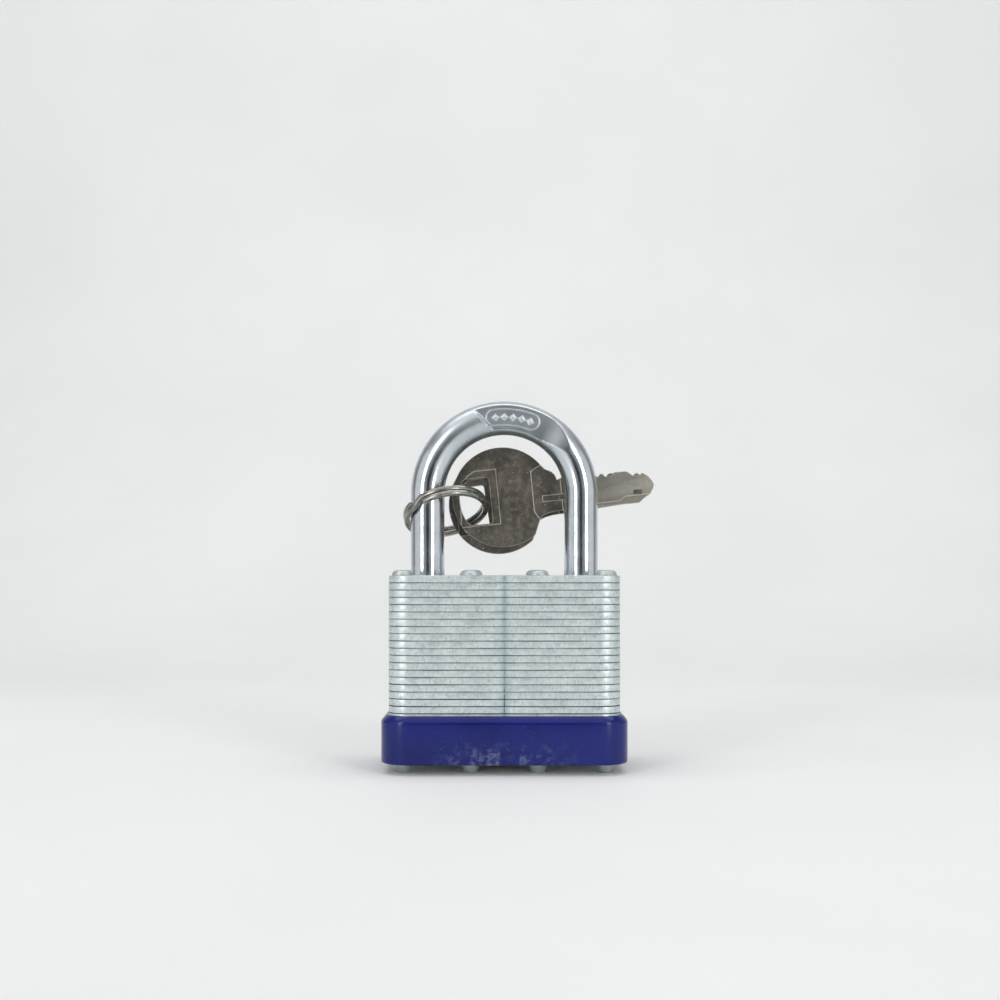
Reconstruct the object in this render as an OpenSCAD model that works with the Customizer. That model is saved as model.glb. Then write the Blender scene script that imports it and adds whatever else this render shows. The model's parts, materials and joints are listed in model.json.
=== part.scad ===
// Laminated padlock with a plastic bumper round its foot, a loose key ring and two keys.
// Millimetres. X is the width, -Y the front, Z up. The origin is the centre of the plane
// that the rivet feet stand on. Stored shut, with the plug turned to open and both latches
// drawn back.

/* [Body] */
// Width of the laminated body
body_w = 50; // [40:0.5:60]
// Depth of the laminated body
body_d = 28; // [24:0.5:34]
// Radius of the body's upright corners
corner_r = 4.5; // [2:0.25:7]
// Number of steel plates
plate_n = 26; // [24:1:30]
// Thickness of one plate
plate_t = 1.55; // [1.2:0.05:2]
// Height of the rivet feet under the body
foot_h = 2.2; // [1:0.1:3]
// Width of the upright groove in the middle of each face
groove_w = 2.4; // [0:0.1:4]
// Depth of that groove
groove_d = 0.25; // [0.1:0.05:0.6]

/* [Bumper] */
// Height of the bumper
bumper_h = 10.4; // [8:0.1:14]
// Wall of the bumper
bumper_wall = 1.55; // [1:0.05:2.5]
// Bevel round the bumper's top edge
bumper_bevel = 1.2; // [0.4:0.1:1.4]

/* [Shackle] */
// Diameter of the shackle bar
bar_d = 7.5; // [6:0.1:9]
// Distance between the centres of the two legs
leg_gap = 34.2; // [30:0.1:38]
// Height of the bend's centre above the body
bend_up = 17.9; // [10:0.1:40]
// How far the short leg reaches into the body
toe_depth = 15; // [12:0.1:18]
// How far the shackle lifts
lift = 15.3; // [12:0.1:18]

/* [Cylinder] */
// Radius of the plug
plug_r = 5.5; // [4.5:0.1:6]
// Width of the keyway
keyway_w = 2.2; // [1.8:0.1:2.6]
// Distance between neighbouring pins
pin_step = 3.15; // [3:0.05:4]
// Height of the lowest pin
pin_z = 12.3; // [10:0.1:14]

/* [Keys] */
// Radius of a key's bow
bow_r = 11.3; // [9:0.1:13]
// Thickness of a key
key_t = 1.8; // [1.5:0.05:2]
// Tilt of a key, tip up
key_tilt = 5.75; // [0:0.25:20]
// How much more the second key is tilted
key_2_more_tilt = 3; // [0:0.25:6]
// Middle radius of the split ring
ring_r = 8.95; // [8:0.05:10]

/* [Hidden] */
$fn = 64;
gap = 0.25;
body_z = foot_h;
body_h = plate_n * plate_t;
top_z = body_z + body_h;
bend_z = top_z + bend_up;
bar_r = bar_d / 2;
leg_x = leg_gap / 2;
leg_hole_r = bar_r + gap;
toe_z = top_z - toe_depth;

rivet_x = [-22, -7.3, 7.3, 22];
rivet_y = 9.7;
rivet_r = 1.5;
rivet_head_r = 2.3;
rivet_head_h = 1.2;

inset_plates = [2, 6];
inset = 0.5;
cavity_plates = [2, 17];
guard_plate = 18;
cam_plate = 19;
latch_plates = [20, 21];
heel_floor_plate = 3;
toe_floor_plate = 17;

cavity_r = 7.8;
housing_r = 7.6;
housing_z = [plate_z(cavity_plates[0]) + 0.1, plate_z(guard_plate) - 0.1];
tower_w = 7;
tower_y = 11.8;
cover_t = 0.5;
nose_r = 4.9;
plug_z = [plate_z(2) + 0.3, plate_z(guard_plate) - 0.4];
nose_z = body_z + 0.2;
keyway_x = [-3.35, 4.45];
keyway_top = plug_z[1] - 1.6;
ward_x = [0.75, 1.55];
ward_h = 0.35;
tail_w = 3.2;
tail_top = plate_z(cam_plate + 1) - 0.15;

pin_r = 1.2;
pin_bore_r = 1.3;
key_pin_len = [3.15, 3.0, 2.3, 3.5];
key_pin_out = plug_r - 0.1;
driver_y = plug_r + 0.2;
driver_len = 3;

cam_r = 7.5;
cam_z = [plate_z(cam_plate) + 0.2, tail_top];
slot_in_r = 4;
slot_half = 1.1;
toe_travel = 1.9;
heel_travel = 1.25;
latch_z = [plate_z(latch_plates[0]) + 0.2, plate_z(latch_plates[1] + 1) - 0.25];
latch_w = 5.8;
channel_w = 6.3;
latch_in = 1.6;
toe_latch_x = leg_x - bar_r - 0.3;
heel_latch_x = leg_x - bar_r + 0.4;
latch_pin_r = 0.8;
tip_bevel = 0.9;

notch_z = [latch_z[0] - 0.4, latch_z[1] + 0.4];
toe_notch_x = toe_latch_x + toe_travel + 0.3;
heel_notch_x = heel_latch_x + heel_travel + 0.3;
relief_x = heel_latch_x + 0.5;
neck_r = 1.8;
neck_z = [notch_z[0] - lift, notch_z[1] - lift];
heel_z = 9.8;
flat_y = 3.0;
flat_angle = 81;
flat_half_angle = 28;
badge_angle = 83.5;
badge_half_angle = 20;
badge_half_h = 1.7;
badge_up = 0.15;
stud_step = 6.5;

bow_c = [-0.4, 60.1];
key_y = [4.05, 6.05];
key_2_shift = [-0.9, -1.5];
blade_half = [4.28, 3.15];
blade_x = 13.6;
tip_x = 34.4;
hole_r = 9.7;
hole_flat_x = -2.7;
hole_z = [-5.6, 4.9];
recess_d = 0.25;
recess_x = [-10.2, -1.1];
recess_z = [-6.9, 6.1];
rib_x = [6.1, 6.9];
rib_half = 5.6;
mill_z = [-1.7, -0.6];
mill_d = 0.45;
cut_x = [21.1, 24.3, 27.45, 30.6];
cut_top = [2.2, 2.35, 3.05, 1.85];
cut_half = 0.65;

ring_c = [-13.13, 1.66, 56.68];
ring_turn = [-28.5, -8.1, 9.9];
ring_wire = [1.2, 2.4];
seam_w = 0.16;

function plate_name(i) = str("plate_", i < 10 ? "0" : "", i);
function plate_z(i) = body_z + (i - 1) * plate_t;
function is_in(i, span) = i >= span[0] && i <= span[1];

// A rectangle centred on the origin with round corners.
module round_rect(w, d, r) {
    square([w - 2 * r, d], center = true);
    square([w, d - 2 * r], center = true);
    for (x = [-1, 1], y = [-1, 1])
        translate([x * (w / 2 - r), y * (d / 2 - r)]) circle(r);
}

// A block with round corners, with bevels round its top and bottom edges.
module bevelled_block(w, d, h, r, low, high) {
    for (x = [-1, 1], y = [-1, 1]) translate([x * (w / 2 - r), y * (d / 2 - r), 0]) {
        cylinder(r1 = r - low, r2 = r, h = low);
        translate([0, 0, low]) cylinder(r = r, h = h - low - high);
        translate([0, 0, h - high]) cylinder(r1 = r, r2 = r - high, h = high);
    }
    rotate([90, 0, 90]) translate([0, 0, r - w / 2]) linear_extrude(w - 2 * r)
        bevelled_section(d / 2, h, low, high);
    rotate([90, 0, 0]) translate([0, 0, r - d / 2]) linear_extrude(d - 2 * r)
        bevelled_section(w / 2, h, low, high);
}

module bevelled_section(half, h, low, high) {
    polygon([
        [low - half, 0], [half - low, 0], [half, low], [half, h - high],
        [half - high, h], [high - half, h], [-half, h - high], [-half, low]
    ]);
}

// A round wire wound into a coil along Z, standing on the origin.
module coil(radius, wire, length, turns, steps, sides) {
    n = round(turns * steps);
    rise = length - 2 * wire;
    pts = [for (k = [0:n], s = [0:sides - 1])
        let (a = 360 * k / steps, b = 360 * s / sides, r = radius + wire * cos(b))
        [r * cos(a), r * sin(a), wire + rise * k / n + wire * sin(b)]];
    sides_of_wire = [for (k = [0:n - 1], s = [0:sides - 1])
        let (t = (s + 1) % sides, a = k * sides, b = a + sides)
        [a + s, a + t, b + t, b + s]];
    ends = [[for (s = [0:sides - 1]) sides - 1 - s], [for (s = [0:sides - 1]) n * sides + s]];
    polyhedron(pts, concat(sides_of_wire, ends));
}

module plate_outline(i) {
    shrink = is_in(i, inset_plates) ? inset : 0;
    difference() {
        round_rect(body_w - 2 * shrink, body_d - 2 * shrink, corner_r - shrink);
        for (s = [-1, 1]) translate([0, s * body_d / 2])
            square([groove_w, 2 * groove_d], center = true);
        for (x = rivet_x, s = [-1, 1]) translate([x, s * rivet_y]) circle(rivet_r + 0.05);
    }
}

module plate_openings(i) {
    if (i == 1) circle(nose_r + 0.3);
    if (is_in(i, cavity_plates)) {
        circle(cavity_r);
        translate([-tower_w / 2 - 0.2, 0])
            square([tower_w + 0.4, tower_y + cover_t + 0.2]);
    }
    if (i == guard_plate) circle(tail_w * 0.82);
    if (i == cam_plate) circle(cavity_r);
    if (is_in(i, latch_plates)) square([leg_gap, channel_w], center = true);
    if (i >= heel_floor_plate) translate([-leg_x, 0]) circle(leg_hole_r);
    if (i >= toe_floor_plate) translate([leg_x, 0]) circle(leg_hole_r);
}

module plate(i) {
    color("silver") translate([0, 0, plate_z(i)]) linear_extrude(plate_t) difference() {
        plate_outline(i);
        plate_openings(i);
    }
}

// The bumper's inner rib sits in the step that the inset plates leave.
module bumper() {
    w = body_w + 0.1;
    d = body_d + 0.1;
    rib_low = plate_z(inset_plates[0]) + 0.1;
    rib_high = plate_z(inset_plates[1] + 1) - 0.1;
    color("midnightblue") difference() {
        translate([0, 0, body_z]) bevelled_block(w + 2 * bumper_wall, d + 2 * bumper_wall,
            bumper_h, corner_r + bumper_wall, 0.5, bumper_bevel);
        translate([0, 0, body_z - 1]) linear_extrude(rib_low - body_z + 1)
            round_rect(w, d, corner_r);
        translate([0, 0, body_z]) linear_extrude(bumper_h)
            round_rect(w - 2 * inset, d - 2 * inset, corner_r - inset);
        translate([0, 0, rib_high]) linear_extrude(bumper_h) round_rect(w, d, corner_r);
    }
}

module rivets() {
    dome_r = (rivet_head_r * rivet_head_r + rivet_head_h * rivet_head_h) / (2 * rivet_head_h);
    color("gainsboro") for (x = rivet_x, s = [-1, 1]) translate([x, s * rivet_y, 0]) {
        cylinder(r1 = 1.5, r2 = 2.2, h = foot_h);
        translate([0, 0, foot_h]) cylinder(r = rivet_r, h = body_h);
        translate([0, 0, top_z]) intersection() {
            translate([0, 0, rivet_head_h - dome_r]) sphere(dome_r);
            cylinder(r = rivet_head_r, h = rivet_head_h);
        }
    }
}

// Part of a flat ring round the bend's centre, seen along Y.
module bend_band(in_r, out_r, from, to, y_low, y_high) {
    translate([0, 0, bend_z]) rotate([90, 0, 0])
        rotate_extrude(angle = to - from, start = from)
            translate([in_r, -y_high]) square([out_r - in_r, y_high - y_low]);
}

// A thin raised plate on the flattened crown, with a plain row of studs on it.
module badge() {
    bend_band(leg_x - badge_half_h, leg_x + badge_half_h, badge_angle - badge_half_angle,
        badge_angle + badge_half_angle, -flat_y - badge_up, -flat_y + 0.2);
    for (k = [-2:2]) translate([0, -flat_y, bend_z])
        rotate([0, -(badge_angle + k * stud_step), 0]) translate([leg_x, 0, 0])
            rotate([90, 0, 0]) cylinder(r = 0.6, h = badge_up + 0.15);
}

module shackle_bar() {
    translate([0, 0, bend_z]) rotate([90, 0, 0]) rotate_extrude(angle = 180)
        translate([leg_x, 0]) circle(bar_r);
    translate([leg_x, 0, toe_z + 1]) cylinder(r = bar_r, h = bend_z - toe_z - 1);
    translate([leg_x, 0, toe_z]) cylinder(r1 = bar_r - 1, r2 = bar_r, h = 1);
    translate([-leg_x, 0, heel_z + 0.6]) cylinder(r = bar_r, h = neck_z[0] - heel_z - 0.6);
    translate([-leg_x, 0, heel_z]) cylinder(r1 = bar_r - 0.6, r2 = bar_r, h = 0.6);
    translate([-leg_x, 0, neck_z[0]]) cylinder(r = neck_r, h = neck_z[1] - neck_z[0]);
    translate([-leg_x, 0, neck_z[1]]) cylinder(r = bar_r, h = bend_z - neck_z[1]);
}

// The toe leg has one latch notch. The heel leg has one too, a neck lower down for the
// latch when the shackle is up, and a flat between them that passes the drawn-back latch.
module shackle() {
    color("lightsteelblue") {
        difference() {
            shackle_bar();
            translate([toe_notch_x - 5, -5, notch_z[0]])
                cube([5, 10, notch_z[1] - notch_z[0]]);
            translate([-heel_notch_x, -5, notch_z[0]])
                cube([5, 10, notch_z[1] - notch_z[0]]);
            translate([-relief_x, -5, neck_z[1]])
                cube([5, 10, notch_z[0] - neck_z[1] + 0.1]);
            bend_band(leg_x - 5, leg_x + 5, flat_angle - flat_half_angle,
                flat_angle + flat_half_angle, -bar_r - 1, -flat_y);
        }
        badge();
    }
}

module shackle_spring() {
    color("dimgray") translate([-leg_x, 0, plate_z(heel_floor_plate) + 0.05])
        coil(3, 0.4, heel_z - plate_z(heel_floor_plate) - 0.2, 4, 20, 8);
}

function nth_pin_z(i) = pin_z + (i - 1) * pin_step;

module cylinder_housing() {
    h = housing_z[1] - housing_z[0];
    color("goldenrod") difference() {
        translate([0, 0, housing_z[0]]) {
            cylinder(r = housing_r, h = h);
            translate([-tower_w / 2, 0, 0]) cube([tower_w, tower_y, h]);
        }
        translate([0, 0, housing_z[0] - 1]) cylinder(r = plug_r + 0.15, h = h + 2);
        for (i = [1:4]) translate([0, tower_y + 1, nth_pin_z(i)])
            rotate([90, 0, 0]) cylinder(r = pin_bore_r, h = tower_y - 3);
    }
}

module keyway() {
    translate([0, 0, nose_z - 1]) linear_extrude(keyway_top - nose_z + 1) difference() {
        translate([keyway_x[0], -keyway_w / 2])
            square([keyway_x[1] - keyway_x[0], keyway_w]);
        translate([ward_x[0], -keyway_w / 2]) square([ward_x[1] - ward_x[0], ward_h]);
    }
}

module plug() {
    color("gold") difference() {
        union() {
            translate([0, 0, nose_z]) cylinder(r = nose_r, h = plug_z[0] - nose_z);
            translate([0, 0, plug_z[0]]) cylinder(r = plug_r, h = plug_z[1] - plug_z[0]);
            translate([-tail_w / 2, -tail_w / 2, plug_z[1]])
                cube([tail_w, tail_w, tail_top - plug_z[1]]);
        }
        keyway();
        for (i = [1:4]) translate([-plug_r - 1, 0, nth_pin_z(i)])
            rotate([0, 90, 0]) cylinder(r = pin_bore_r, h = plug_r);
    }
}

// The key pins are stored with their flat ends at the plug's edge, where a key lifts them.
module key_pin(i) {
    len = key_pin_len[i - 1];
    color("peru") translate([-key_pin_out, 0, nth_pin_z(i)]) rotate([0, 90, 0]) {
        cylinder(r = pin_r, h = len - 0.7);
        translate([0, 0, len - 0.7]) cylinder(r1 = pin_r, r2 = 0.5, h = 0.7);
    }
}

module driver_pin(i) {
    color("silver") translate([0, driver_y, nth_pin_z(i)]) rotate([-90, 0, 0])
        cylinder(r = pin_r, h = driver_len);
}

module pin_spring(i) {
    color("dimgray") translate([0, driver_y + driver_len + 0.05, nth_pin_z(i)])
        rotate([-90, 0, 0])
            coil(0.85, 0.18, tower_y - driver_y - driver_len - 0.1, 4, 12, 6);
}

module spring_cover() {
    z = nth_pin_z(1) - 2;
    color("darkgoldenrod") translate([-3, tower_y, z])
        cube([6, cover_t, nth_pin_z(4) + 2 - z]);
}

function slot_point(turn, travel, side) =
    let (r = slot_in_r + travel * turn / 90 + side) [r * cos(turn), r * sin(turn)];

// A curved slot that moves a latch by equal steps for equal turns of the plug.
module cam_slot(travel) {
    polygon(concat(
        [for (a = [0:6:90]) slot_point(a, travel, slot_half)],
        [for (a = [90:-6:0]) slot_point(a, travel, -slot_half)]
    ));
    for (a = [0, 90]) translate(slot_point(a, travel, 0)) circle(slot_half);
}

module cam_disc() {
    color("darkkhaki") translate([0, 0, cam_z[0]]) linear_extrude(cam_z[1] - cam_z[0])
        difference() {
            circle(cam_r);
            square(tail_w + 0.04, center = true);
            cam_slot(toe_travel);
            rotate(180) cam_slot(heel_travel);
        }
}

// A latch that points along +X, with the pin under it that rides in the cam's slot.
module latch(tip_x) {
    translate([0, latch_w / 2, 0]) rotate([90, 0, 0]) linear_extrude(latch_w) polygon([
        [latch_in, latch_z[0]], [tip_x, latch_z[0]], [tip_x, latch_z[1] - tip_bevel],
        [tip_x - tip_bevel, latch_z[1]], [latch_in, latch_z[1]]
    ]);
    translate([slot_in_r, 0, cam_z[0] + 0.15])
        cylinder(r = latch_pin_r, h = latch_z[0] - cam_z[0]);
}

module latch_right() {
    color("slategray") latch(toe_latch_x);
}

module latch_left() {
    color("slategray") rotate([0, 0, 180]) latch(heel_latch_x);
}

module latch_spring() {
    color("dimgray") translate([0.05 - latch_in, 0, (latch_z[0] + latch_z[1]) / 2])
        rotate([0, 90, 0]) coil(0.85, 0.2, 2 * latch_in - 0.1, 4, 12, 6);
}

// One closed ring in place of two wound turns, with the seam between them cut in.
module split_ring() {
    w = ring_wire[0];
    t = ring_wire[1];
    color("lightgray") translate(ring_c) rotate(ring_turn) rotate_extrude() difference() {
        translate([ring_r - w / 2, -t / 2]) square([w, t]);
        for (s = [-1, 1]) translate([ring_r + s * w / 2, 0])
            rotate(45) square(seam_w, center = true);
    }
}

// The neck, the saw-toothed side of the blade, its tip and its straight side.
module key_outline() {
    low = -blade_half[0];
    high = blade_half[1];
    cuts = [for (i = [0:3]) each let (x = cut_x[i], z = cut_top[i], w = high - z)
        [[x - cut_half - w, high], [x - cut_half, z], [x + cut_half, z],
         [x + cut_half + min(w, 0.9), z + min(w, 0.9)]]];
    difference() {
        circle(bow_r);
        polygon([[8.8, -4.9], [13, -3.9], [13, -12], [6.6, -12], [6.6, -9.17], [7.4, -7.4]]);
    }
    polygon(concat(
        [[0, -6], [7, -6], [8.8, -4.9], [12, low], [30.8, low], [32.2, -3.2],
         [33.4, -2.6], [tip_x, -0.5], [33.1, 1.7]],
        [for (k = [len(cuts) - 1:-1:0]) cuts[k]],
        [[blade_x, high], [12.7, 2.7], [11.6, 4.7], [8.7, 6.4], [0, 6.4]]
    ));
}

module key_hole() {
    intersection() {
        circle(hole_r);
        translate([-hole_r, hole_z[0]])
            square([hole_r + hole_flat_x, hole_z[1] - hole_z[0]]);
    }
}

// A key with its bow's centre on the origin and its blade along +X.
module key_blank() {
    difference() {
        rotate([90, 0, 0]) translate([0, 0, -key_t]) linear_extrude(key_t) difference() {
            key_outline();
            key_hole();
        }
        for (y = [-1, key_t - recess_d]) translate([0, y, 0]) {
            translate([recess_x[0], 0, recess_z[0]])
                cube([recess_x[1] - recess_x[0], recess_d + 1, recess_z[1] - recess_z[0]]);
            translate([rib_x[0], 0, -rib_half])
                cube([rib_x[1] - rib_x[0], recess_d + 1, 2 * rib_half]);
        }
        translate([rib_x[1] + 2, -1, mill_z[0]])
            cube([tip_x, mill_d + 1, mill_z[1] - mill_z[0]]);
    }
}

module placed_key(shift, y, tilt) {
    color("lightslategray") translate([bow_c[0] + shift[0], y, bow_c[1] + shift[1]])
        rotate([0, -tilt, 0]) key_blank();
}

module key_1() {
    placed_key([0, 0], key_y[0], key_tilt);
}

module key_2() {
    placed_key(key_2_shift, key_y[1], key_tilt + key_2_more_tilt);
}

for (i = [1:plate_n]) plate(i);
bumper();
rivets();
shackle();
shackle_spring();
cylinder_housing();
plug();
for (i = [1:4]) key_pin(i);
for (i = [1:4]) driver_pin(i);
for (i = [1:4]) pin_spring(i);
spring_cover();
cam_disc();
latch_left();
latch_right();
latch_spring();
split_ring();
key_1();
key_2();
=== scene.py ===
import json
import math
import random

import bmesh
import bpy
from mathutils import Matrix, Vector


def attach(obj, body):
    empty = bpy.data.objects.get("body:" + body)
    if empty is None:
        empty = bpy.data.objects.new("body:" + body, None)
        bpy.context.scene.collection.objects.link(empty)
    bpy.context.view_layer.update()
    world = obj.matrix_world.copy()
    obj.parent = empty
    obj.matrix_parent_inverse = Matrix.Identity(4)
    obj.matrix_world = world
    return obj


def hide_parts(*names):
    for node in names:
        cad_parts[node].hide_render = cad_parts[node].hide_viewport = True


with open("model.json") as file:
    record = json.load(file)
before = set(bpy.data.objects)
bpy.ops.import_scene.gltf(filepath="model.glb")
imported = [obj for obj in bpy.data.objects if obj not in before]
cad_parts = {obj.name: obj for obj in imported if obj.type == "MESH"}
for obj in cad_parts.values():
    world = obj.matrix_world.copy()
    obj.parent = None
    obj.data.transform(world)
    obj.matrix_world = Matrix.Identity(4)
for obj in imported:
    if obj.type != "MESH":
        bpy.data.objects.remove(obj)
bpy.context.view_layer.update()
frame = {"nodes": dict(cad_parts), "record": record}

MM = 0.001

# Sizes and places are in millimetres and angles in degrees, as in the solid model.

# The stack of plates. Plates are counted from the lowest. The groove down the middle is a soft
# valley here, and shallower than the solid model's.
BODY_W, BODY_D, CORNER_R = 50.0, 28.0, 4.5
PLATE_N, PLATE_T, BASE_Z = 26, 1.55, 2.2
TOP_Z = BASE_Z + PLATE_N * PLATE_T
GROOVE_W, GROOVE_D = 2.4, 0.15
INSET_PLATES, INSET = range(2, 7), 0.5
RIVET_X, RIVET_Y, RIVET_HOLE_R = (-22.0, -7.3, 7.3, 22.0), 9.7, 1.55

# The holes in the plates: which plates have each, and its size.
HEEL_HOLE_FROM, TOE_HOLE_FROM, LEG_HOLE_R = 3, 17, 4.0
PLUG_MOUTH_R = 5.2
CAVITY_PLATES, CAVITY_R = range(2, 18), 7.8
TOWER_HALF_W, TOWER_Y = 3.7, 12.5
TAIL_PLATE, TAIL_HOLE_R = 18, 2.62
CAM_PLATE = 19
CHANNEL_PLATES, CHANNEL_HALF_W = (20, 21), 3.15

BUMPER_W, BUMPER_D, BUMPER_R = 53.2, 31.2, 6.05

# The shackle. Angles along its bend start at the short leg. Its crown is flat in front, from a
# soft start to a slanting crease, and carries the mark.
LEG_X, BAR_R = 17.1, 3.75
BEND_Z = TOP_Z + 17.9
TOE_Z, HEEL_Z = TOP_Z - 15.0, 9.8
CROWN_Y = 2.6
FLAT_START, FLAT_START_LENGTH = 32, 28
CREASE, CREASE_SLANT, CREASE_LENGTH = 107.5, 6.4, 3
NOTCH_Z, TOE_NOTCH_X, HEEL_NOTCH_X = (31.45, 34.9), 15.25, -15.3
NECK_Z, NECK_R, FLAT_LEG_X = (16.15, 19.6), 1.8, -14.25
CUTTER_SIZE = 6
MARK_MIDDLE, MARK_HALF, MARK_RISE = 83.5, 20.0, 1.75
STUD_STEP = 6.5

# The ring, and each key with its bow's centre and its tilt.
RING_C, RING_TURN, RING_R = (-13.13, 1.66, 56.68), (-28.5, -8.1, 9.9), 8.95
KEY_T, BOW_R = 1.8, 11.3
KEY_PLACES = (("key_1", (-0.4, 4.05, 60.1), 5.75), ("key_2", (-1.3, 6.05, 58.6), 8.75))


# ---- mesh making -------------------------------------------------------------

def new_object(name, verts, faces, sharp=35):
    """An object from corners in millimetres, smooth except at edges sharper than an angle."""
    mesh = bpy.data.meshes.new(name)
    mesh.from_pydata([tuple(c * MM for c in v) for v in verts], [], faces)
    return finish_mesh(name, mesh, sharp)


def shade(mesh, sharp):
    for p in mesh.polygons:
        p.use_smooth = True
    mesh.set_sharp_from_angle(angle=math.radians(sharp))


def finish_mesh(name, mesh, sharp):
    bm = bmesh.new()
    bm.from_mesh(mesh)
    bmesh.ops.remove_doubles(bm, verts=bm.verts, dist=1e-7)
    bmesh.ops.recalc_face_normals(bm, faces=bm.faces)
    bm.to_mesh(mesh)
    bm.free()
    shade(mesh, sharp)
    obj = bpy.data.objects.new(name, mesh)
    bpy.context.scene.collection.objects.link(obj)
    return obj


def smooth(t):
    """Rises softly from 0 to 1 as t does, and stays level outside."""
    t = min(max(t, 0), 1)
    return t * t * (3 - 2 * t)


def ring_faces(rings, n, closed):
    """Quads between successive loops of n points each."""
    faces = []
    for k in range(rings if closed else rings - 1):
        a, b = k * n, ((k + 1) % rings) * n
        for i in range(n):
            j = (i + 1) % n
            faces.append((a + i, a + j, b + j, b + i))
    return faces


def loft(name, loops, closed=False, sharp=35):
    """A skin through loops of points, joined end to end or else capped."""
    n = len(loops[0])
    verts = [p for loop in loops for p in loop]
    faces = ring_faces(len(loops), n, closed)
    if not closed:
        faces.append(tuple(range(n - 1, -1, -1)))
        faces.append(tuple(range(len(verts) - n, len(verts))))
    return new_object(name, verts, faces, sharp)


def turned(name, profile, centres, n, sharp):
    """A closed profile of (radius, height) points turned about an upright line at each centre."""
    verts, faces = [], []
    for cx, cy in centres:
        base = len(verts)
        for r, z in profile:
            for i in range(n):
                a = 2 * math.pi * i / n
                verts.append((cx + r * math.cos(a), cy + r * math.sin(a), z))
        m = len(profile)
        faces += [tuple(base + v for v in f) for f in ring_faces(m, n, False)]
        faces.append(tuple(base + i for i in range(n - 1, -1, -1)))
        faces.append(tuple(base + (m - 1) * n + i for i in range(n)))
    return new_object(name, verts, faces, sharp)


def circle(cx, cy, r, n):
    return [(cx + r * math.cos(2 * math.pi * i / n), cy + r * math.sin(2 * math.pi * i / n))
            for i in range(n)]


def groove_dip(x, depth):
    """How deep the soft valley in the middle of a long side is, at a distance x from its middle."""
    share = abs(x) / (GROOVE_W / 2)
    return depth * (0.5 + 0.5 * math.cos(math.pi * share)) if share < 1 else 0.0


def arc(r, start, end, steps):
    """Points round the origin from one angle to another, in radians."""
    turn = end - start
    return [(r * math.cos(start + turn * k / steps), r * math.sin(start + turn * k / steps))
            for k in range(steps + 1)]


def round_rect(w, d, r, steps, groove=0.0):
    """A rounded rectangle, anticlockwise, with a soft valley in the middle of its long sides."""
    along_side = [(-1 + i / 12) * (w / 2 - r - 0.2) for i in range(25)]
    if groove:
        along_side += [k * GROOVE_W / 6 for k in (-3, -2, -1, 1, 2, 3)]
    pts = []
    for k, (sx, sy) in enumerate(((1, 1), (-1, 1), (-1, -1), (1, -1))):
        for i in range(steps + 1):
            a = math.radians(90 * k + 90 * i / steps)
            pts.append((sx * (w / 2 - r) + r * math.cos(a), sy * (d / 2 - r) + r * math.sin(a)))
        if k in (0, 2):
            for x in sorted(along_side, reverse=k == 0):
                pts.append((x, sy * (d / 2 - groove_dip(x, groove))))
    return pts


def evaluated_mesh(obj):
    return bpy.data.meshes.new_from_object(obj.evaluated_get(bpy.context.evaluated_depsgraph_get()))


def sheet(name, outer, holes, low, thick, bevel, sharp=35):
    """A flat sheet along Z cut to an outline, with round edges at the outline and the holes."""
    curve = bpy.data.curves.new(name, "CURVE")
    curve.dimensions = "2D"
    curve.fill_mode = "BOTH"
    for loop in [outer] + list(holes):
        spline = curve.splines.new("POLY")
        spline.points.add(len(loop) - 1)
        for p, (x, y) in zip(spline.points, loop):
            p.co = (x * MM, y * MM, 0, 1)
        spline.use_cyclic_u = True
    curve.extrude = (thick / 2 - bevel) * MM
    curve.bevel_depth = bevel * MM
    curve.bevel_resolution = 2
    curve.offset = -bevel * MM
    holder = bpy.data.objects.new(name + "_curve", curve)
    bpy.context.scene.collection.objects.link(holder)
    mesh = evaluated_mesh(holder)
    bpy.data.objects.remove(holder)
    bpy.data.curves.remove(curve)
    mesh.name = name
    mesh.transform(Matrix.Translation((0, 0, (low + thick / 2) * MM)))
    return finish_mesh(name, mesh, sharp)


def cut(obj, cutters, sharp=35):
    """Takes the cutters' volume out of obj and removes them."""
    for c in cutters:
        mod = obj.modifiers.new("cut", "BOOLEAN")
        mod.operation = "DIFFERENCE"
        mod.solver = "EXACT"
        mod.object = c
    bpy.context.view_layer.update()
    mesh = evaluated_mesh(obj)
    obj.modifiers.clear()
    old = obj.data
    obj.data = mesh
    bpy.data.meshes.remove(old)
    for c in cutters:
        bpy.data.objects.remove(c)
    shade(mesh, sharp)


def block(low, high, bevel):
    """A cutter: a box between two corners, with round edges."""
    verts = [(x, y, z) for x in (low[0], high[0]) for y in (low[1], high[1]) for z in (low[2], high[2])]
    faces = [(0, 1, 3, 2), (4, 6, 7, 5), (0, 4, 5, 1), (2, 3, 7, 6), (0, 2, 6, 4), (1, 5, 7, 3)]
    obj = new_object("cutter", verts, faces)
    bm = bmesh.new()
    bm.from_mesh(obj.data)
    bmesh.ops.bevel(bm, geom=bm.edges[:], offset=bevel * MM, segments=3, affect="EDGES", profile=0.5)
    bm.to_mesh(obj.data)
    bm.free()
    return obj


# ---- materials ---------------------------------------------------------------

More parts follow.
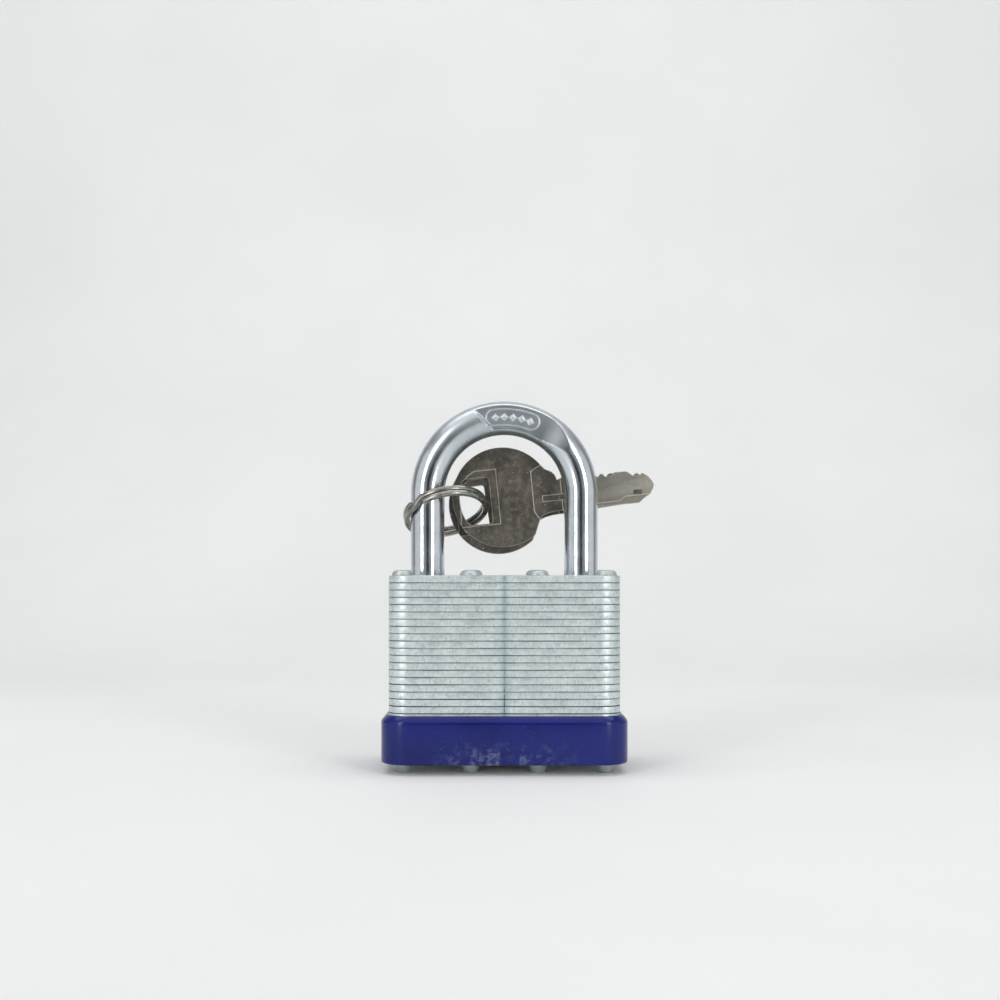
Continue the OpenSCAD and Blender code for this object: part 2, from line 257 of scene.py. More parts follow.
class Looks:
    """A material's node tree, with short calls for the nodes that all materials share."""

    def __init__(self, name):
        self.mat = bpy.data.materials.new(name)
        self.mat.use_nodes = True
        self.tree = self.mat.node_tree
        self.shader = self.tree.nodes["Principled BSDF"]
        self.place = self.tree.nodes.new("ShaderNodeTexCoord").outputs["Object"]

    def add(self, kind, **inputs):
        node = self.tree.nodes.new(kind)
        for key, value in inputs.items():
            self.feed(node.inputs[key.replace("_", " ")], value)
        return node

    def feed(self, socket, value):
        if isinstance(value, bpy.types.NodeSocket):
            self.tree.links.new(value, socket)
        else:
            socket.default_value = value

    def along(self, axis):
        """The place along an axis, in metres."""
        return self.add("ShaderNodeSeparateXYZ", Vector=self.place).outputs[axis]

    def within(self, axis, full_mm, none_mm, middle_mm=0.0):
        """1 within one distance of a middle along an axis, falling to 0 at the other."""
        off = self.math("ABSOLUTE", self.math("SUBTRACT", self.along(axis), middle_mm * MM))
        return self.span(off, full_mm * MM, none_mm * MM, 1.0, 0.0)

    def noise(self, scale, detail=4.0, stretch=(1, 1, 1), rough=0.6):
        stretched = self.add("ShaderNodeMapping", Vector=self.place, Scale=stretch)
        return self.add("ShaderNodeTexNoise", Vector=stretched.outputs["Vector"], Scale=scale,
                        Detail=detail, Roughness=rough).outputs["Fac"]

    def ramp(self, value, stops):
        """A colour between two (position, colour) stops."""
        node = self.tree.nodes.new("ShaderNodeValToRGB")
        for element, (at, colour) in zip(node.color_ramp.elements, stops):
            element.position = at
            element.color = (*colour, 1)
        self.feed(node.inputs["Fac"], value)
        return node.outputs["Color"]

    def span(self, value, low, high, to_low, to_high):
        """The value's place between low and high, carried over to between to_low and to_high."""
        return self.add("ShaderNodeMapRange", Value=value, From_Min=low, From_Max=high,
                        To_Min=to_low, To_Max=to_high).outputs["Result"]

    def mix(self, share, a, b):
        node = self.tree.nodes.new("ShaderNodeMix")
        node.data_type = "RGBA"
        self.feed(node.inputs[0], share)
        self.feed(node.inputs[6], a if isinstance(a, bpy.types.NodeSocket) else (*a, 1))
        self.feed(node.inputs[7], b if isinstance(b, bpy.types.NodeSocket) else (*b, 1))
        return node.outputs[2]

    def times(self, a, b):
        return self.math("MULTIPLY", a, b)

    def math(self, how, a, b=0.0):
        node = self.tree.nodes.new("ShaderNodeMath")
        node.operation = how
        self.feed(node.inputs[0], a)
        self.feed(node.inputs[1], b)
        return node.outputs[0]

    def rounded(self, width_mm):
        """The surface's normal, rounded off over edges."""
        edge = self.add("ShaderNodeBevel", Radius=width_mm * MM)
        edge.samples = 4
        return edge.outputs["Normal"]

    def bump(self, height, depth_mm, strength, edge_mm=0.0):
        node = self.add("ShaderNodeBump", Height=height, Distance=depth_mm * MM, Strength=strength)
        if edge_mm:
            self.feed(node.inputs["Normal"], self.rounded(edge_mm))
        self.feed(self.shader.inputs["Normal"], node.outputs["Normal"])

    def edges(self, width_mm):
        """1 on edges and near 0 on flat faces."""
        dot = self.tree.nodes.new("ShaderNodeVectorMath")
        dot.operation = "DOT_PRODUCT"
        self.feed(dot.inputs[0], self.rounded(width_mm))
        self.feed(dot.inputs[1], self.add("ShaderNodeNewGeometry").outputs["Normal"])
        return self.span(dot.outputs["Value"], 0.99, 0.8, 0.0, 1.0)

    def set(self, **inputs):
        names = {"color": "Base Color", "specular": "Specular IOR Level"}
        for key, value in inputs.items():
            self.feed(self.shader.inputs[names.get(key, key.capitalize())], value)
        return self.mat


def seams(m):
    """1 where two plates meet, less where they are clean, and 0 on the stack's top and bottom."""
    half = PLATE_N * PLATE_T / 2
    level = m.math("DIVIDE", m.math("SUBTRACT", m.along("Z"), BASE_Z * MM), PLATE_T * MM)
    lip = m.math("ABSOLUTE", m.math("SUBTRACT", m.math("FRACT", level), 0.5))
    inside = m.within("Z", half - 0.3, half - 0.2, BASE_Z + half)
    worn = m.noise(420, 3, (0.12, 0.12, 1))
    dirt = m.times(m.span(worn, 0.35, 0.58, 0.4, 1.0), m.span(m.along("Z"), 0.022, 0.036, 1.0, 0.7))
    return m.times(m.times(m.span(lip, 0.39, 0.45, 0.0, 1.0), inside), dirt)


def zinc_plate():
    """Zinc-plated sheet: pale grey with a blue-green cast, grainy sheared edges, dark seams, and a
    groove darkened with painted shade.
    """
    m = Looks("zinc_plate")
    grain = m.noise(2600, 3, (1, 1, 0.4))
    cloud = m.noise(220, 5)
    blotch = m.noise(900, 4, (1, 1, 1.4))
    colour = m.ramp(cloud, [(0.3, (0.51, 0.595, 0.60)), (0.7, (0.60, 0.675, 0.67))])
    colour = m.mix(m.span(blotch, 0.38, 0.68, 0.0, 0.55), colour, (0.82, 0.87, 0.86))
    colour = m.mix(m.span(grain, 0.54, 0.68, 0.0, 0.5), colour, (0.31, 0.40, 0.42))
    colour = m.mix(m.span(m.noise(3400, 2), 0.58, 0.70, 0.0, 0.7), colour, (0.90, 0.93, 0.91))
    face = m.math("GREATER_THAN", m.math("ABSOLUTE", m.along("Y")), 0.0131)
    # Painted shade: the groove down the middle of each long face is darkened.
    valley = m.times(m.within("X", 0.2, 1.3), face)
    colour = m.mix(m.times(valley, 0.55), colour, (0.22, 0.32, 0.35))
    low_down = m.span(m.along("Z"), 0.016, 0.026, 0.9, 0.0)
    # Painted shade: a thin dark line down the groove's middle, patchy, strongest low down and gone
    # above 26 mm.
    line = m.times(m.times(m.within("X", 0.06, 0.2), face), low_down)
    colour = m.mix(m.times(line, m.span(blotch, 0.4, 0.6, 0.2, 1.0)), colour, (0.02, 0.05, 0.07))
    seam = seams(m)
    colour = m.mix(seam, colour, (0.004, 0.046, 0.055))
    m.bump(m.math("ADD", m.times(grain, 0.6), m.times(blotch, 0.4)), 0.05, 0.6)
    return m.set(color=colour, metallic=m.span(seam, 0.0, 1.0, 0.7, 0.1),
                 roughness=m.span(cloud, 0.3, 0.7, 0.36, 0.52))


def zinc_rivet():
    """Zinc-plated rivet: pressed smooth, with fine turned marks and dull spots."""
    m = Looks("zinc_rivet")
    fine = m.noise(1800, 4)
    cloud = m.noise(500, 4)
    colour = m.ramp(cloud, [(0.3, (0.40, 0.45, 0.46)), (0.7, (0.60, 0.64, 0.63))])
    m.bump(fine, 0.05, 0.6)
    return m.set(color=colour, metallic=0.75, roughness=m.span(fine, 0.3, 0.7, 0.42, 0.6))


def blue_plastic():
    """Glossy moulded plastic, dark blue, with faint flow marks, dust, chalky scuffs and a painted
    highlight on its edges.
    """
    m = Looks("blue_plastic")
    cloud = m.noise(70, 4)
    fine = m.noise(900, 4)
    dust = m.noise(1900, 3)
    scuff = m.noise(560, 7, rough=0.8)
    colour = m.ramp(cloud, [(0.3, (0.004, 0.008, 0.10)), (0.7, (0.009, 0.017, 0.16))])
    colour = m.mix(m.span(dust, 0.66, 0.76, 0.0, 0.35), colour, (0.14, 0.17, 0.40))
    low_middle = m.times(m.span(m.along("Z"), 0.0025, 0.0075, 1.0, 0.0), m.within("X", 4, 16))
    chalk = m.times(m.span(scuff, 0.50, 0.68, 0.0, 0.5), low_middle)
    colour = m.mix(chalk, colour, (0.42, 0.47, 0.62))
    # Painted highlight: the edges are mixed towards a lighter blue.
    colour = m.mix(m.times(m.edges(0.4), 0.25), colour, (0.05, 0.07, 0.34))
    m.bump(m.math("ADD", m.times(fine, 0.3), m.times(cloud, 0.7)), 0.03, 0.2)
    return m.set(color=colour, metallic=0.0, specular=0.3,
                 roughness=m.span(fine, 0.35, 0.7, 0.14, 0.24))


def chrome_bar():
    """Chrome plating over a bent bar: bright, with smears, pin-pricks and a satin crown, darkened there
    with painted shade.
    """
    m = Looks("chrome_bar")
    smear = m.noise(140, 5)
    prick = m.noise(3200, 3)
    streak = m.noise(500, 5, (1, 1, 0.25))
    colour = m.ramp(smear, [(0.3, (0.54, 0.585, 0.62)), (0.7, (0.68, 0.715, 0.745))])
    colour = m.mix(m.span(streak, 0.5, 0.72, 0.0, 0.4), colour, (0.42, 0.46, 0.50))
    colour = m.mix(m.span(prick, 0.66, 0.78, 0.0, 0.6), colour, (0.28, 0.31, 0.34))
    m.bump(m.math("ADD", m.times(prick, 0.25), m.times(smear, 0.75)), 0.04, 0.35)
    # High up the crown is rougher, and its colour is darkened there by painted shade.
    satin_and_shade = m.span(m.along("Z"), 0.066, 0.076, 0.0, 0.2)
    colour = m.mix(m.times(satin_and_shade, 2.2), colour, (0.44, 0.475, 0.50))
    return m.set(color=colour, metallic=1.0,
                 roughness=m.math("ADD", m.span(smear, 0.3, 0.75, 0.13, 0.23), satin_and_shade))


def ring_steel():
    """Nickel-plated flat spring wire, bright along its edges."""
    m = Looks("ring_steel")
    smear = m.noise(600, 4)
    fine = m.noise(2600, 3)
    colour = m.ramp(smear, [(0.3, (0.22, 0.215, 0.20)), (0.7, (0.42, 0.41, 0.375))])
    colour = m.mix(m.times(m.edges(0.14), 0.7), colour, (0.86, 0.85, 0.81))
    m.bump(fine, 0.02, 0.4)
    return m.set(color=colour, metallic=1.0, roughness=m.span(smear, 0.3, 0.7, 0.16, 0.34))


def key_nickel():
    """Stamped key blank, dull grey-brown nickel under a film of dust, bright on its edges, with painted
    light on the blade and painted shade near its tip.
    """
    m = Looks("key_nickel")
    cloud = m.noise(180, 5)
    dust = m.noise(700, 6, rough=0.75)
    speck = m.noise(2200, 2)
    colour = m.ramp(cloud, [(0.3, (0.080, 0.071, 0.059)), (0.7, (0.160, 0.143, 0.120))])
    colour = m.mix(m.span(dust, 0.48, 0.70, 0.0, 0.65), colour, (0.26, 0.24, 0.205))
    # Painted light: the blade past the leg, beyond x = 14.5 mm, is painted lighter than the bow, less
    # so where dust lies.
    blade_painted_light = m.span(m.along("X"), 0.0145, 0.017, 0.0, 0.75)
    colour = m.mix(m.times(blade_painted_light, m.span(dust, 0.35, 0.6, 1.0, 0.55)), colour, (0.37, 0.36, 0.31))
    # Painted shade: a dark patch near the blade's tip, at x = 30.2 mm and z = 61.3 mm, where a pocket
    # has no shade of its own.
    pocket_shade = m.times(m.within("X", 0.8, 1.15, 30.2), m.within("Z", 0.45, 0.7, 61.3))
    colour = m.mix(m.times(pocket_shade, m.span(dust, 0.3, 0.6, 1.0, 0.6)), colour, (0.035, 0.03, 0.028))
    colour = m.mix(m.span(speck, 0.69, 0.77, 0.0, 0.9), colour, (0.85, 0.84, 0.80))
    colour = m.mix(m.edges(0.28), colour, (0.85, 0.82, 0.74))
    m.bump(m.math("ADD", m.times(dust, 0.5), m.times(cloud, 0.5)), 0.05, 0.5, 0.08)
    return m.set(color=colour, metallic=0.8, roughness=m.span(dust, 0.35, 0.7, 0.36, 0.6))


def brass():
    """Turned brass with fine tool lines and a little tarnish."""
    m = Looks("brass")
    lines = m.noise(3000, 2, (0.3, 0.3, 3))
    tarnish = m.noise(350, 5)
    colour = m.ramp(tarnish, [(0.3, (0.52, 0.38, 0.16)), (0.7, (0.80, 0.63, 0.30))])
    m.bump(lines, 0.02, 0.4, 0.08)
    return m.set(color=colour, metallic=1.0, roughness=m.span(tarnish, 0.3, 0.7, 0.24, 0.42))


def hard_steel():
    """Sintered steel of latches and pins: dark, matt and a little pitted."""
    m = Looks("hard_steel")
    pits = m.noise(2800, 4)
    cloud = m.noise(400, 4)
    colour = m.ramp(cloud, [(0.3, (0.30, 0.31, 0.33)), (0.7, (0.46, 0.47, 0.49))])
    m.bump(pits, 0.03, 0.5, 0.08)
    return m.set(color=colour, metallic=1.0, roughness=m.span(pits, 0.3, 0.7, 0.3, 0.5))


def spring_steel():
    """Oiled spring wire: dark, with a soft sheen and straw-coloured patches."""
    m = Looks("spring_steel")
    patch = m.noise(500, 4)
    fine = m.noise(3000, 3)
    colour = m.ramp(patch, [(0.3, (0.22, 0.22, 0.24)), (0.7, (0.46, 0.43, 0.38))])
    m.bump(fine, 0.02, 0.4)
    return m.set(color=colour, metallic=1.0, roughness=m.span(patch, 0.3, 0.7, 0.22, 0.4))


def floor_paper():
    m = Looks("floor_paper")
    fibre = m.noise(900, 5)
    tone = m.noise(6, 3)
    colour = m.ramp(tone, [(0.3, (0.78, 0.78, 0.775)), (0.7, (0.82, 0.82, 0.815))])
    m.bump(fibre, 0.05, 0.15)
    return m.set(color=colour, metallic=0.0, roughness=m.span(fibre, 0.3, 0.7, 0.65, 0.8))


# ---- pieces ------------------------------------------------------------------

def place(obj, slot, body, *nodes):
    """Gives a piece its finish and its body, and hides the nodes it stands in for."""
    obj.data.materials.clear()
    obj.data.materials.append(LOOK[slot])
    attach(obj, body)
    if nodes:
        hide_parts(*nodes)


def rivet_places():
    return [(x, side * RIVET_Y) for x in RIVET_X for side in (-1, 1)]


def cavity_outline():
    """The round cavity round the cylinder, with the square tower that rises from its back."""
    a = math.asin(TOWER_HALF_W / CAVITY_R)
    cavity = arc(CAVITY_R, math.pi / 2 + a, 5 * math.pi / 2 - a, 40)
    return cavity + [(TOWER_HALF_W, TOWER_Y), (-TOWER_HALF_W, TOWER_Y)]


def channel_outline():
    """The latch channel and both leg holes as one opening."""
    a = math.asin(CHANNEL_HALF_W / LEG_HOLE_R)
    loop = []
    for side, start in ((1, math.pi + a), (-1, a)):
        end = start + 2 * math.pi - 2 * a
        loop += [(side * LEG_X + x, y) for x, y in arc(LEG_HOLE_R, start, end, 32)]
    return loop


def plate_holes(i):
    """The holes in one plate."""
    holes = [circle(x, y, RIVET_HOLE_R, 24) for x, y in rivet_places()]
    if i in CHANNEL_PLATES:
        return holes + [channel_outline()]
    if i == 1:
        holes.append(circle(0, 0, PLUG_MOUTH_R, 64))
    if i >= HEEL_HOLE_FROM:
        holes.append(circle(-LEG_X, 0, LEG_HOLE_R, 48))
    if i >= TOE_HOLE_FROM:
        holes.append(circle(LEG_X, 0, LEG_HOLE_R, 48))
    if i in CAVITY_PLATES:
        holes.append(cavity_outline())
    if i == TAIL_PLATE:
        holes.append(circle(0, 0, TAIL_HOLE_R, 32))
    if i == CAM_PLATE:
        holes.append(circle(0, 0, CAVITY_R, 64))
    return holes


def build_plates():
    """Each plate differs a little from the next in size, edge and place, as sheared plates do."""
    rng = random.Random(11)
    for i in range(1, PLATE_N + 1):
        node = f"plate_{i:02d}"
        grow = rng.uniform(-0.05, 0.02)
        edge = rng.uniform(0.11, 0.2)
        shift = (rng.uniform(-0.04, 0.04), rng.uniform(-0.04, 0.04))
        inset, groove = (INSET, 0.0) if i in INSET_PLATES else (0.0, GROOVE_D)
        outer = round_rect(BODY_W - 2 * inset + grow, BODY_D - 2 * inset + grow, CORNER_R - inset,
                           12, groove)
        outer = [(x + shift[0], y + shift[1]) for x, y in outer]
        low = BASE_Z + (i - 1) * PLATE_T
        obj = sheet(node + "_look", outer, plate_holes(i), low, PLATE_T, edge, 50)
        place(obj, "zinc_plate", "lock_body", node)


def build_bumper():
    """A boot of one wall, its profile given by how far in each point is and how high."""
    profile = [(1.52, 2.35), (1.3, 2.2), (0.55, 2.2), (0.2, 2.3), (0.04, 2.55), (0, 2.9),
               (0, 10.9), (0.03, 11.25), (0.16, 11.5), (0.55, 11.98), (0.85, 12.32), (1.05, 12.5),
               (1.22, 12.58), (1.38, 12.58), (1.5, 12.48), (1.54, 12.2), (1.54, 11.4),
               (2.04, 11.3), (2.04, 3.95), (1.54, 3.85)]
    loops = []
    for i, z in profile:
        outline = round_rect(BUMPER_W - 2 * i, BUMPER_D - 2 * i, BUMPER_R - i, 14)
        loops.append([(x, y, z) for x, y in outline])
    obj = loft("bumper_look", loops, closed=True, sharp=60)
    place(obj, "blue_plastic", "lock_body", "bumper")


def build_rivets():
    t = TOP_Z
    profile = [(0.01, 0.12), (0.7, 0.12), (0.95, 0.0), (1.3, 0.0), (1.5, 0.14), (2.05, 1.75),
               (2.12, 2.05), (2.05, 2.19), (1.5, 2.2), (1.5, t), (2.2, t), (2.3, t + 0.12),
               (2.27, t + 0.36), (2.05, t + 0.78), (1.75, t + 1.02), (1.35, t + 1.15),
               (0.8, t + 1.19), (0.01, t + 1.2)]
    obj = turned("rivets_look", profile, rivet_places(), 40, 40)
    place(obj, "zinc_rivet", "lock_body", "rivets")


def crown_front(angle, out):
    """How far the bar's front stands from its centre line, at an angle along the bend.

    The crown is flattened there, up to a slanting crease at its left end.
    """
    start = (angle - FLAT_START) / FLAT_START_LENGTH
    end = (CREASE + CREASE_SLANT * out / BAR_R - angle) / CREASE_LENGTH
    return BAR_R + (CROWN_Y - BAR_R) * smooth(min(start, end))


def bar_stations():
    """Points along the bar's centre line: place, outward direction, radius and angle of bend."""
    out = []
    for z, r in ((TOE_Z, 2.6), (TOE_Z + 0.15, 2.85), (TOE_Z + 0.9, 3.55), (TOE_Z + 1.2, BAR_R),
                 (TOE_Z + 2, BAR_R), (NOTCH_Z[0] + 5, BAR_R), (BEND_Z - 10, BAR_R)):
        out.append(((LEG_X, z), (1, 0), r, 0))
    for angle in range(181):
        c, s = math.cos(math.radians(angle)), math.sin(math.radians(angle))
        out.append(((LEG_X * c, BEND_Z + LEG_X * s), (c, s), BAR_R, angle))
    for z, r in ((BEND_Z - 10, BAR_R), (NOTCH_Z[1] + 2, BAR_R), (NECK_Z[1] + 1, BAR_R),
                 (NECK_Z[1] + 0.2, BAR_R), (NECK_Z[1], BAR_R - 0.2), (NECK_Z[1] - 0.05, NECK_R + 0.3),
                 (NECK_Z[1] - 0.3, NECK_R), (NECK_Z[0] + 0.3, NECK_R), (NECK_Z[0] + 0.05, NECK_R + 0.3),
                 (NECK_Z[0], BAR_R - 0.2), (NECK_Z[0] - 0.2, BAR_R), (HEEL_Z + 0.7, BAR_R),
                 (HEEL_Z + 0.3, 3.55), (HEEL_Z, 3.2)):
        out.append(((-LEG_X, z), (-1, 0), r, 180))
    return out


def leg_cutter(x, low, high, bevel):
    return block((x, -CUTTER_SIZE, low), (x + CUTTER_SIZE, CUTTER_SIZE, high), bevel)


def build_shackle():
    """The bar, with a notch in each leg, and a neck and a flat low on the long leg."""
    n = 72
    loops = []
    for (x, z), (nx, nz), r, bend in bar_stations():
        loop = []
        for i in range(n):
            a = 2 * math.pi * i / n
            u, y = r * math.cos(a), r * math.sin(a)
            loop.append((x + nx * u, max(y, -crown_front(bend, u)), z + nz * u))
        loops.append(loop)
    obj = loft("shackle_look", loops, sharp=28)
    cut(obj, [
        leg_cutter(TOE_NOTCH_X - CUTTER_SIZE, NOTCH_Z[0], NOTCH_Z[1], 0.25),
        leg_cutter(HEEL_NOTCH_X, NOTCH_Z[0], NOTCH_Z[1], 0.25),
        leg_cutter(FLAT_LEG_X, NECK_Z[1] - 0.1, NOTCH_Z[0] + 0.4, 0.2),
    ], 28)
    place(obj, "chrome_bar", "shackle", "shackle")


def on_crown(angle, out, lift):
    """A place on the flat crown: its angle along the bend, how far out, and how far in front."""
    a = math.radians(angle)
    r = LEG_X + out
    return (r * math.cos(a), -CROWN_Y - lift, BEND_Z + r * math.sin(a))


def rim_path():
    """The oval's line on the crown, as angles along the bend and distances out from it."""
    end = math.degrees(MARK_RISE / LEG_X)
    straight = MARK_HALF - end
    path = []
    for side in (1, -1):
        for k in range(41):
            path.append((MARK_MIDDLE + side * (-straight + 2 * straight * k / 40), side * MARK_RISE))
        for k in range(1, 16):
            t = math.pi * k / 16
            path.append((MARK_MIDDLE + side * (straight + end * math.sin(t)),
                         side * MARK_RISE * math.cos(t)))
    return path


def build_crown_rim():
    """A plain oval rim, pressed up from the flattened crown."""
    section = [(-0.26, -0.12), (-0.2, 0.08), (-0.1, 0.17), (0.1, 0.17), (0.2, 0.08), (0.26, -0.12)]
    points = [Vector(on_crown(angle, out, 0)) for angle, out in rim_path()]
    loops = []
    for k, p in enumerate(points):
        ahead = points[(k + 1) % len(points)] - points[k - 1]
        side = ahead.normalized().cross(Vector((0, -1, 0)))
        loops.append([tuple(p + side * s + Vector((0, -h, 0))) for s, h in section])
    place(loft("crown_rim", loops, closed=True, sharp=50), "chrome_bar", "shackle")


def build_crown_studs():
    """A row of plain four-sided studs inside the rim."""
    levels = ((0.95, -0.1), (0.9, 0.02), (0.12, 0.3))
    verts, faces = [], []
    for k in range(-2, 3):
        base = len(verts)
        for r, h in levels:
            for i in range(4):
                t = math.pi / 2 * i
                across = math.degrees(1.1 * r * math.cos(t) / LEG_X)
                verts.append(on_crown(MARK_MIDDLE + STUD_STEP * k + across, r * math.sin(t), h))
        stud = ring_faces(len(levels), 4, False) + [(3, 2, 1, 0), (8, 9, 10, 11)]
        faces += [tuple(base + v for v in face) for face in stud]
    place(new_object("crown_studs", verts, faces, 20), "chrome_bar", "shackle")


def wire_section(n=20):
    """The flat wire's section, a squared oval."""
    half_r, half_t = 0.6, 0.56
    section = []
    for i in range(n):
        c, s = math.cos(2 * math.pi * i / n), math.sin(2 * math.pi * i / n)
        section.append((half_r * math.copysign(abs(c) ** 0.55, c),
                        half_t * math.copysign(abs(s) ** 0.6, s)))
    return section


def build_ring():
    """Flat spring wire wound twice round. It steps from one turn to the other between its ends."""
    steps, turns, start, step, lay = 160, 1.94, math.radians(233), 0.06, 0.6
    rx, ry, rz = (math.radians(angle) for angle in RING_TURN)
    turn = Matrix.Rotation(rz, 4, "Z") @ Matrix.Rotation(ry, 4, "Y") @ Matrix.Rotation(rx, 4, "X")
    last = int(steps * turns)
    loops = []
    for k in range(last + 1):
        share = k / steps
        a = start + 2 * math.pi * share
        height = -lay + 2 * lay * smooth((share - 1 + step) / step)
        taper = 0.8 if k in (0, last) else 1.0
        loop = []
        for u, v in wire_section():
            r = RING_R + u * taper
            p = turn @ Vector((r * math.cos(a), r * math.sin(a), height + v * taper))
            loop.append(tuple(c + centre for c, centre in zip(p, RING_C)))
        loops.append(loop)
    obj = loft("split_ring_look", loops, sharp=50)
    place(obj, "ring_steel", "split_ring", "split_ring")


def key_outline():
    """The bow, neck, straight edge, tip and cuts, anticlockwise from the bow's upper right."""
    pts = arc(BOW_R, math.radians(34.5), math.radians(305.5), 88)
    pts += [(7.35, -7.4), (8.0, -5.9), (8.8, -4.95), (10.2, -4.5), (12.0, -4.28), (30.8, -4.28),
            (32.2, -3.2), (33.4, -2.6), (34.2, -1.2), (34.4, -0.5), (34.1, 0.3), (33.3, 1.5),
            (32.6, 2.0), (32.15, 2.35), (31.9, 2.3), (31.25, 1.85), (29.95, 1.85), (28.7, 2.95),
            (28.2, 3.1), (26.7, 3.1), (26.2, 3.15), (25.75, 3.1), (24.95, 2.35), (23.65, 2.35),
            (22.9, 3.1), (22.45, 3.0), (21.75, 2.2), (20.45, 2.2), (19.5, 3.15), (13.6, 3.15),
            (12.7, 2.7), (12.3, 3.9), (11.6, 4.7), (10.2, 5.4)]
    return pts


def key_hole():
    """A D that follows the bow's edge, with round corners on its flat side."""
    top, low, flat, r = 4.9, -5.6, -2.7, 9.7
    back = arc(r, math.pi - math.asin(top / r), math.pi + math.asin(-low / r), 24)
    return back[1:-1] + [
        (-7.5, low), (flat - 0.55, low), (flat - 0.16, low + 0.16), (flat, low + 0.55),
        (flat, top - 0.55), (flat - 0.16, top - 0.16), (flat - 0.55, top), (-7.9, top)]


def key_cutters():
    """The sunk parts of both faces: round the hole, on the neck and along the blade."""
    cutters = []
    panel = [(-9.9, -5.9), (-0.95, -5.9), (-0.95, 6.5), (-5.8, 6.5), (-7.6, 5.4), (-9.3, 2.8)]
    neck = [(6.9, -4.0), (8.1, -5.9), (10.5, -7), (13.4, -7), (13.4, 7), (11, 7), (8.6, 6.1),
            (6.9, 5.2)]
    mill = [(9.0, -1.9), (15.6, -1.9), (15.6, -0.55), (9.0, -0.55)]
    foot = [(14.5, -5), (36, -5), (36, -2.5), (27.8, -2.5), (26.2, -3.4), (14.5, -3.6)]
    for outline, depth in ((panel, 0.28), (neck, 0.22), (mill, 0.35), (foot, 0.32)):
        for low in (-1.0, KEY_T - depth):
            cutters.append(sheet("cutter", outline, [], low, depth + 1.0, 0.02))
    return cutters


def build_key(name, bow, tilt_deg):
    """A flat blank with its cut edge and sunk faces, stood on edge and tilted tip up."""
    obj = sheet(name + "_look", key_outline(), [key_hole()], 0, KEY_T, 0.06, 40)
    cut(obj, key_cutters(), 32)
    stand = Matrix.Rotation(math.radians(90), 4, "X")
    tilt = Matrix.Rotation(math.radians(-tilt_deg), 4, "Y")
    at = Matrix.Translation((bow[0] * MM, (bow[1] + KEY_T) * MM, bow[2] * MM))
    obj.data.transform(at @ tilt @ stand)
    place(obj, "key_nickel", name, name)


def dress_inner_nodes():
    """The pieces inside keep their solid model's shape and take their own finish."""
    slots = {p["node"]: p["material_slot"] for p in frame["record"]["subparts"]}
    inner = [n for n in frame["nodes"] if n.startswith(("key_pin", "driver_pin", "pin_spring"))]
    inner += ["cylinder_housing", "plug", "spring_cover", "cam_disc", "latch_left", "latch_right",
              "latch_spring", "shackle_spring"]
    for n in inner:
        data = frame["nodes"][n].data
        data.materials.clear()
        data.materials.append(LOOK[slots[n]])


# ---- stage -------------------------------------------------------------------

def build_stage():
    """A pale sheet that lies flat and bends up behind the object."""
    profile = [(-2600, 0), (250, 0)]
    for k in range(1, 17):
        a = math.pi / 2 * k / 16
        profile.append((250 + 400 * math.sin(a), 400 - 400 * math.cos(a)))
    profile.append((650, 1300))
    verts = [(x, y, z) for y, z in profile for x in (-2200, 2200)]
    faces = [(2 * k, 2 * k + 1, 2 * k + 3, 2 * k + 2) for k in range(len(profile) - 1)]
    floor = new_object("floor", verts, faces, 60)
    floor.data.materials.append(floor_paper())


def area_light(name, at, look_at, size, watts):
    data = bpy.data.lights.new(name, "AREA")
    data.shape = "RECTANGLE"
    data.size, data.size_y = size
    data.energy = watts
    obj = bpy.data.objects.new(name, data)
    obj.location = at
    obj.rotation_euler = (Vector(look_at) - Vector(at)).to_track_quat("-Z", "Y").to_euler()
    obj.visible_camera = False
    bpy.context.scene.collection.objects.link(obj)


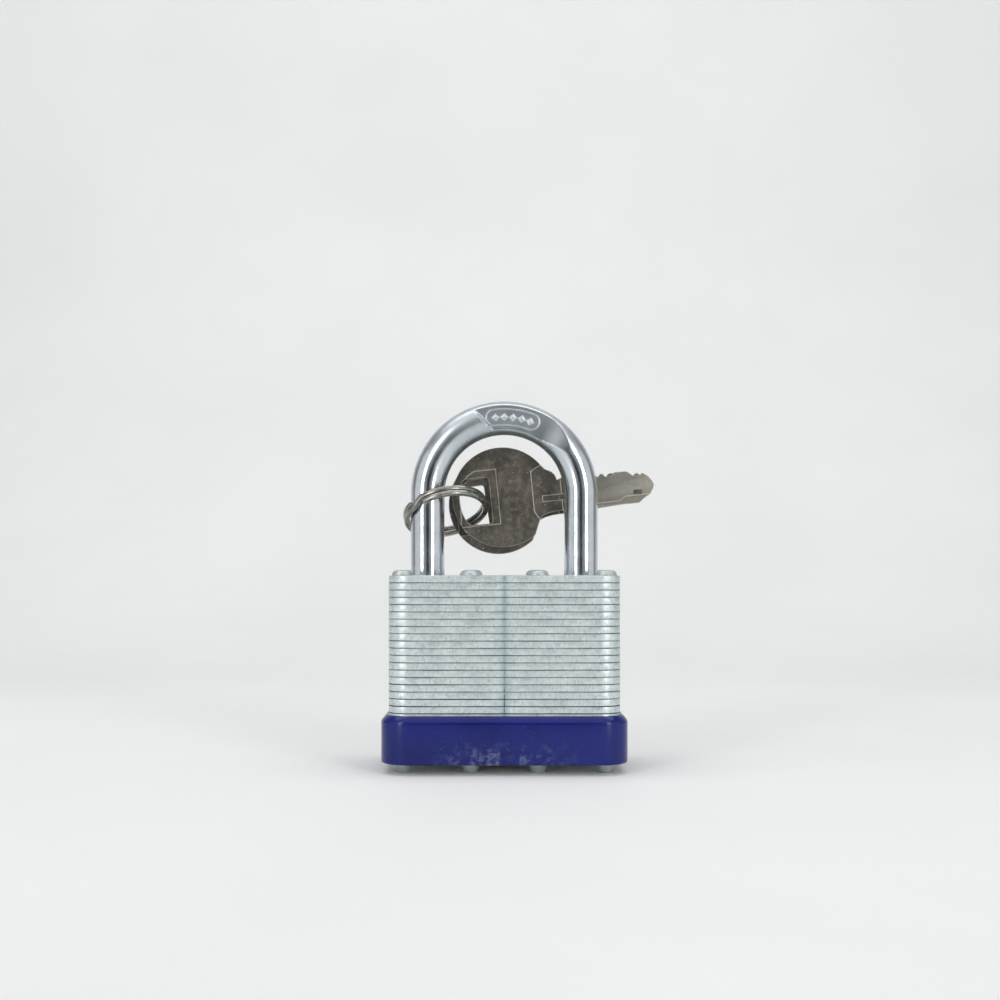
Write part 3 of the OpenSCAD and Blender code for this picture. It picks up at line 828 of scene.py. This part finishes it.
def dark_card():
    """A dark card behind the camera, which puts the dark line down the middle of bright bars."""
    m = Looks("dark_card")
    fibre = m.noise(300, 4)
    colour = m.ramp(fibre, [(0.3, (0.010, 0.011, 0.012)), (0.7, (0.018, 0.018, 0.02))])
    m.bump(fibre, 0.1, 0.2)
    m.set(color=colour, metallic=0.0, roughness=m.span(fibre, 0.3, 0.7, 0.8, 0.95))
    half_w, y, low, high = 52, -330, -20, 260
    corners = [(-half_w, y, low), (half_w, y, low), (half_w, y, high), (-half_w, y, high)]
    card = new_object("dark_card", corners, [(0, 1, 2, 3)])
    card.data.materials.append(m.mat)
    card.visible_camera = False
    card.visible_shadow = False


def build_lights():
    """Two tall soft boxes in front, faint walls, a light overhead and one on the backdrop."""
    aim = (0, 0, 0.05)
    area_light("box_left", (-0.43, -0.57, 0.16), aim, (0.17, 0.75), 2.2)
    area_light("box_right", (0.43, -0.57, 0.16), aim, (0.17, 0.75), 2.2)
    area_light("wall_left", (-0.75, -0.24, 0.16), aim, (0.6, 0.8), 0.8)
    area_light("wall_right", (0.75, -0.24, 0.16), aim, (0.6, 0.8), 0.8)
    area_light("overhead", (0.0, -0.25, 0.75), aim, (1.2, 0.8), 2.2)
    area_light("backdrop_wash", (0.0, 0.1, 1.1), (0, 0.65, 0.25), (1.6, 0.5), 5)
    world = bpy.data.worlds.new("studio")
    world.use_nodes = True
    back = world.node_tree.nodes["Background"]
    back.inputs["Color"].default_value = (0.74, 0.77, 0.80, 1)
    back.inputs["Strength"].default_value = 0.34
    bpy.context.scene.world = world
    bpy.context.scene.view_settings.view_transform = "Standard"


def build_camera():
    data = bpy.data.cameras.new("camera")
    data.sensor_width = 36
    data.lens = 48.39
    data.shift_y = 0.0685
    data.clip_start = 0.01
    obj = bpy.data.objects.new("camera", data)
    obj.location = (-0.95 * MM, -300 * MM, 44 * MM)
    obj.rotation_euler = (math.radians(90), 0, 0)
    bpy.context.scene.collection.objects.link(obj)
    bpy.context.scene.camera = obj


LOOK = {make.__name__: make() for make in (
    zinc_plate, zinc_rivet, blue_plastic, chrome_bar, ring_steel, key_nickel, brass, hard_steel,
    spring_steel)}

build_plates()
build_bumper()
build_rivets()
build_shackle()
build_crown_rim()
build_crown_studs()
build_ring()
for name, bow, tilt_deg in KEY_PLACES:
    build_key(name, bow, tilt_deg)
dress_inner_nodes()
build_stage()
dark_card()
build_lights()
build_camera()
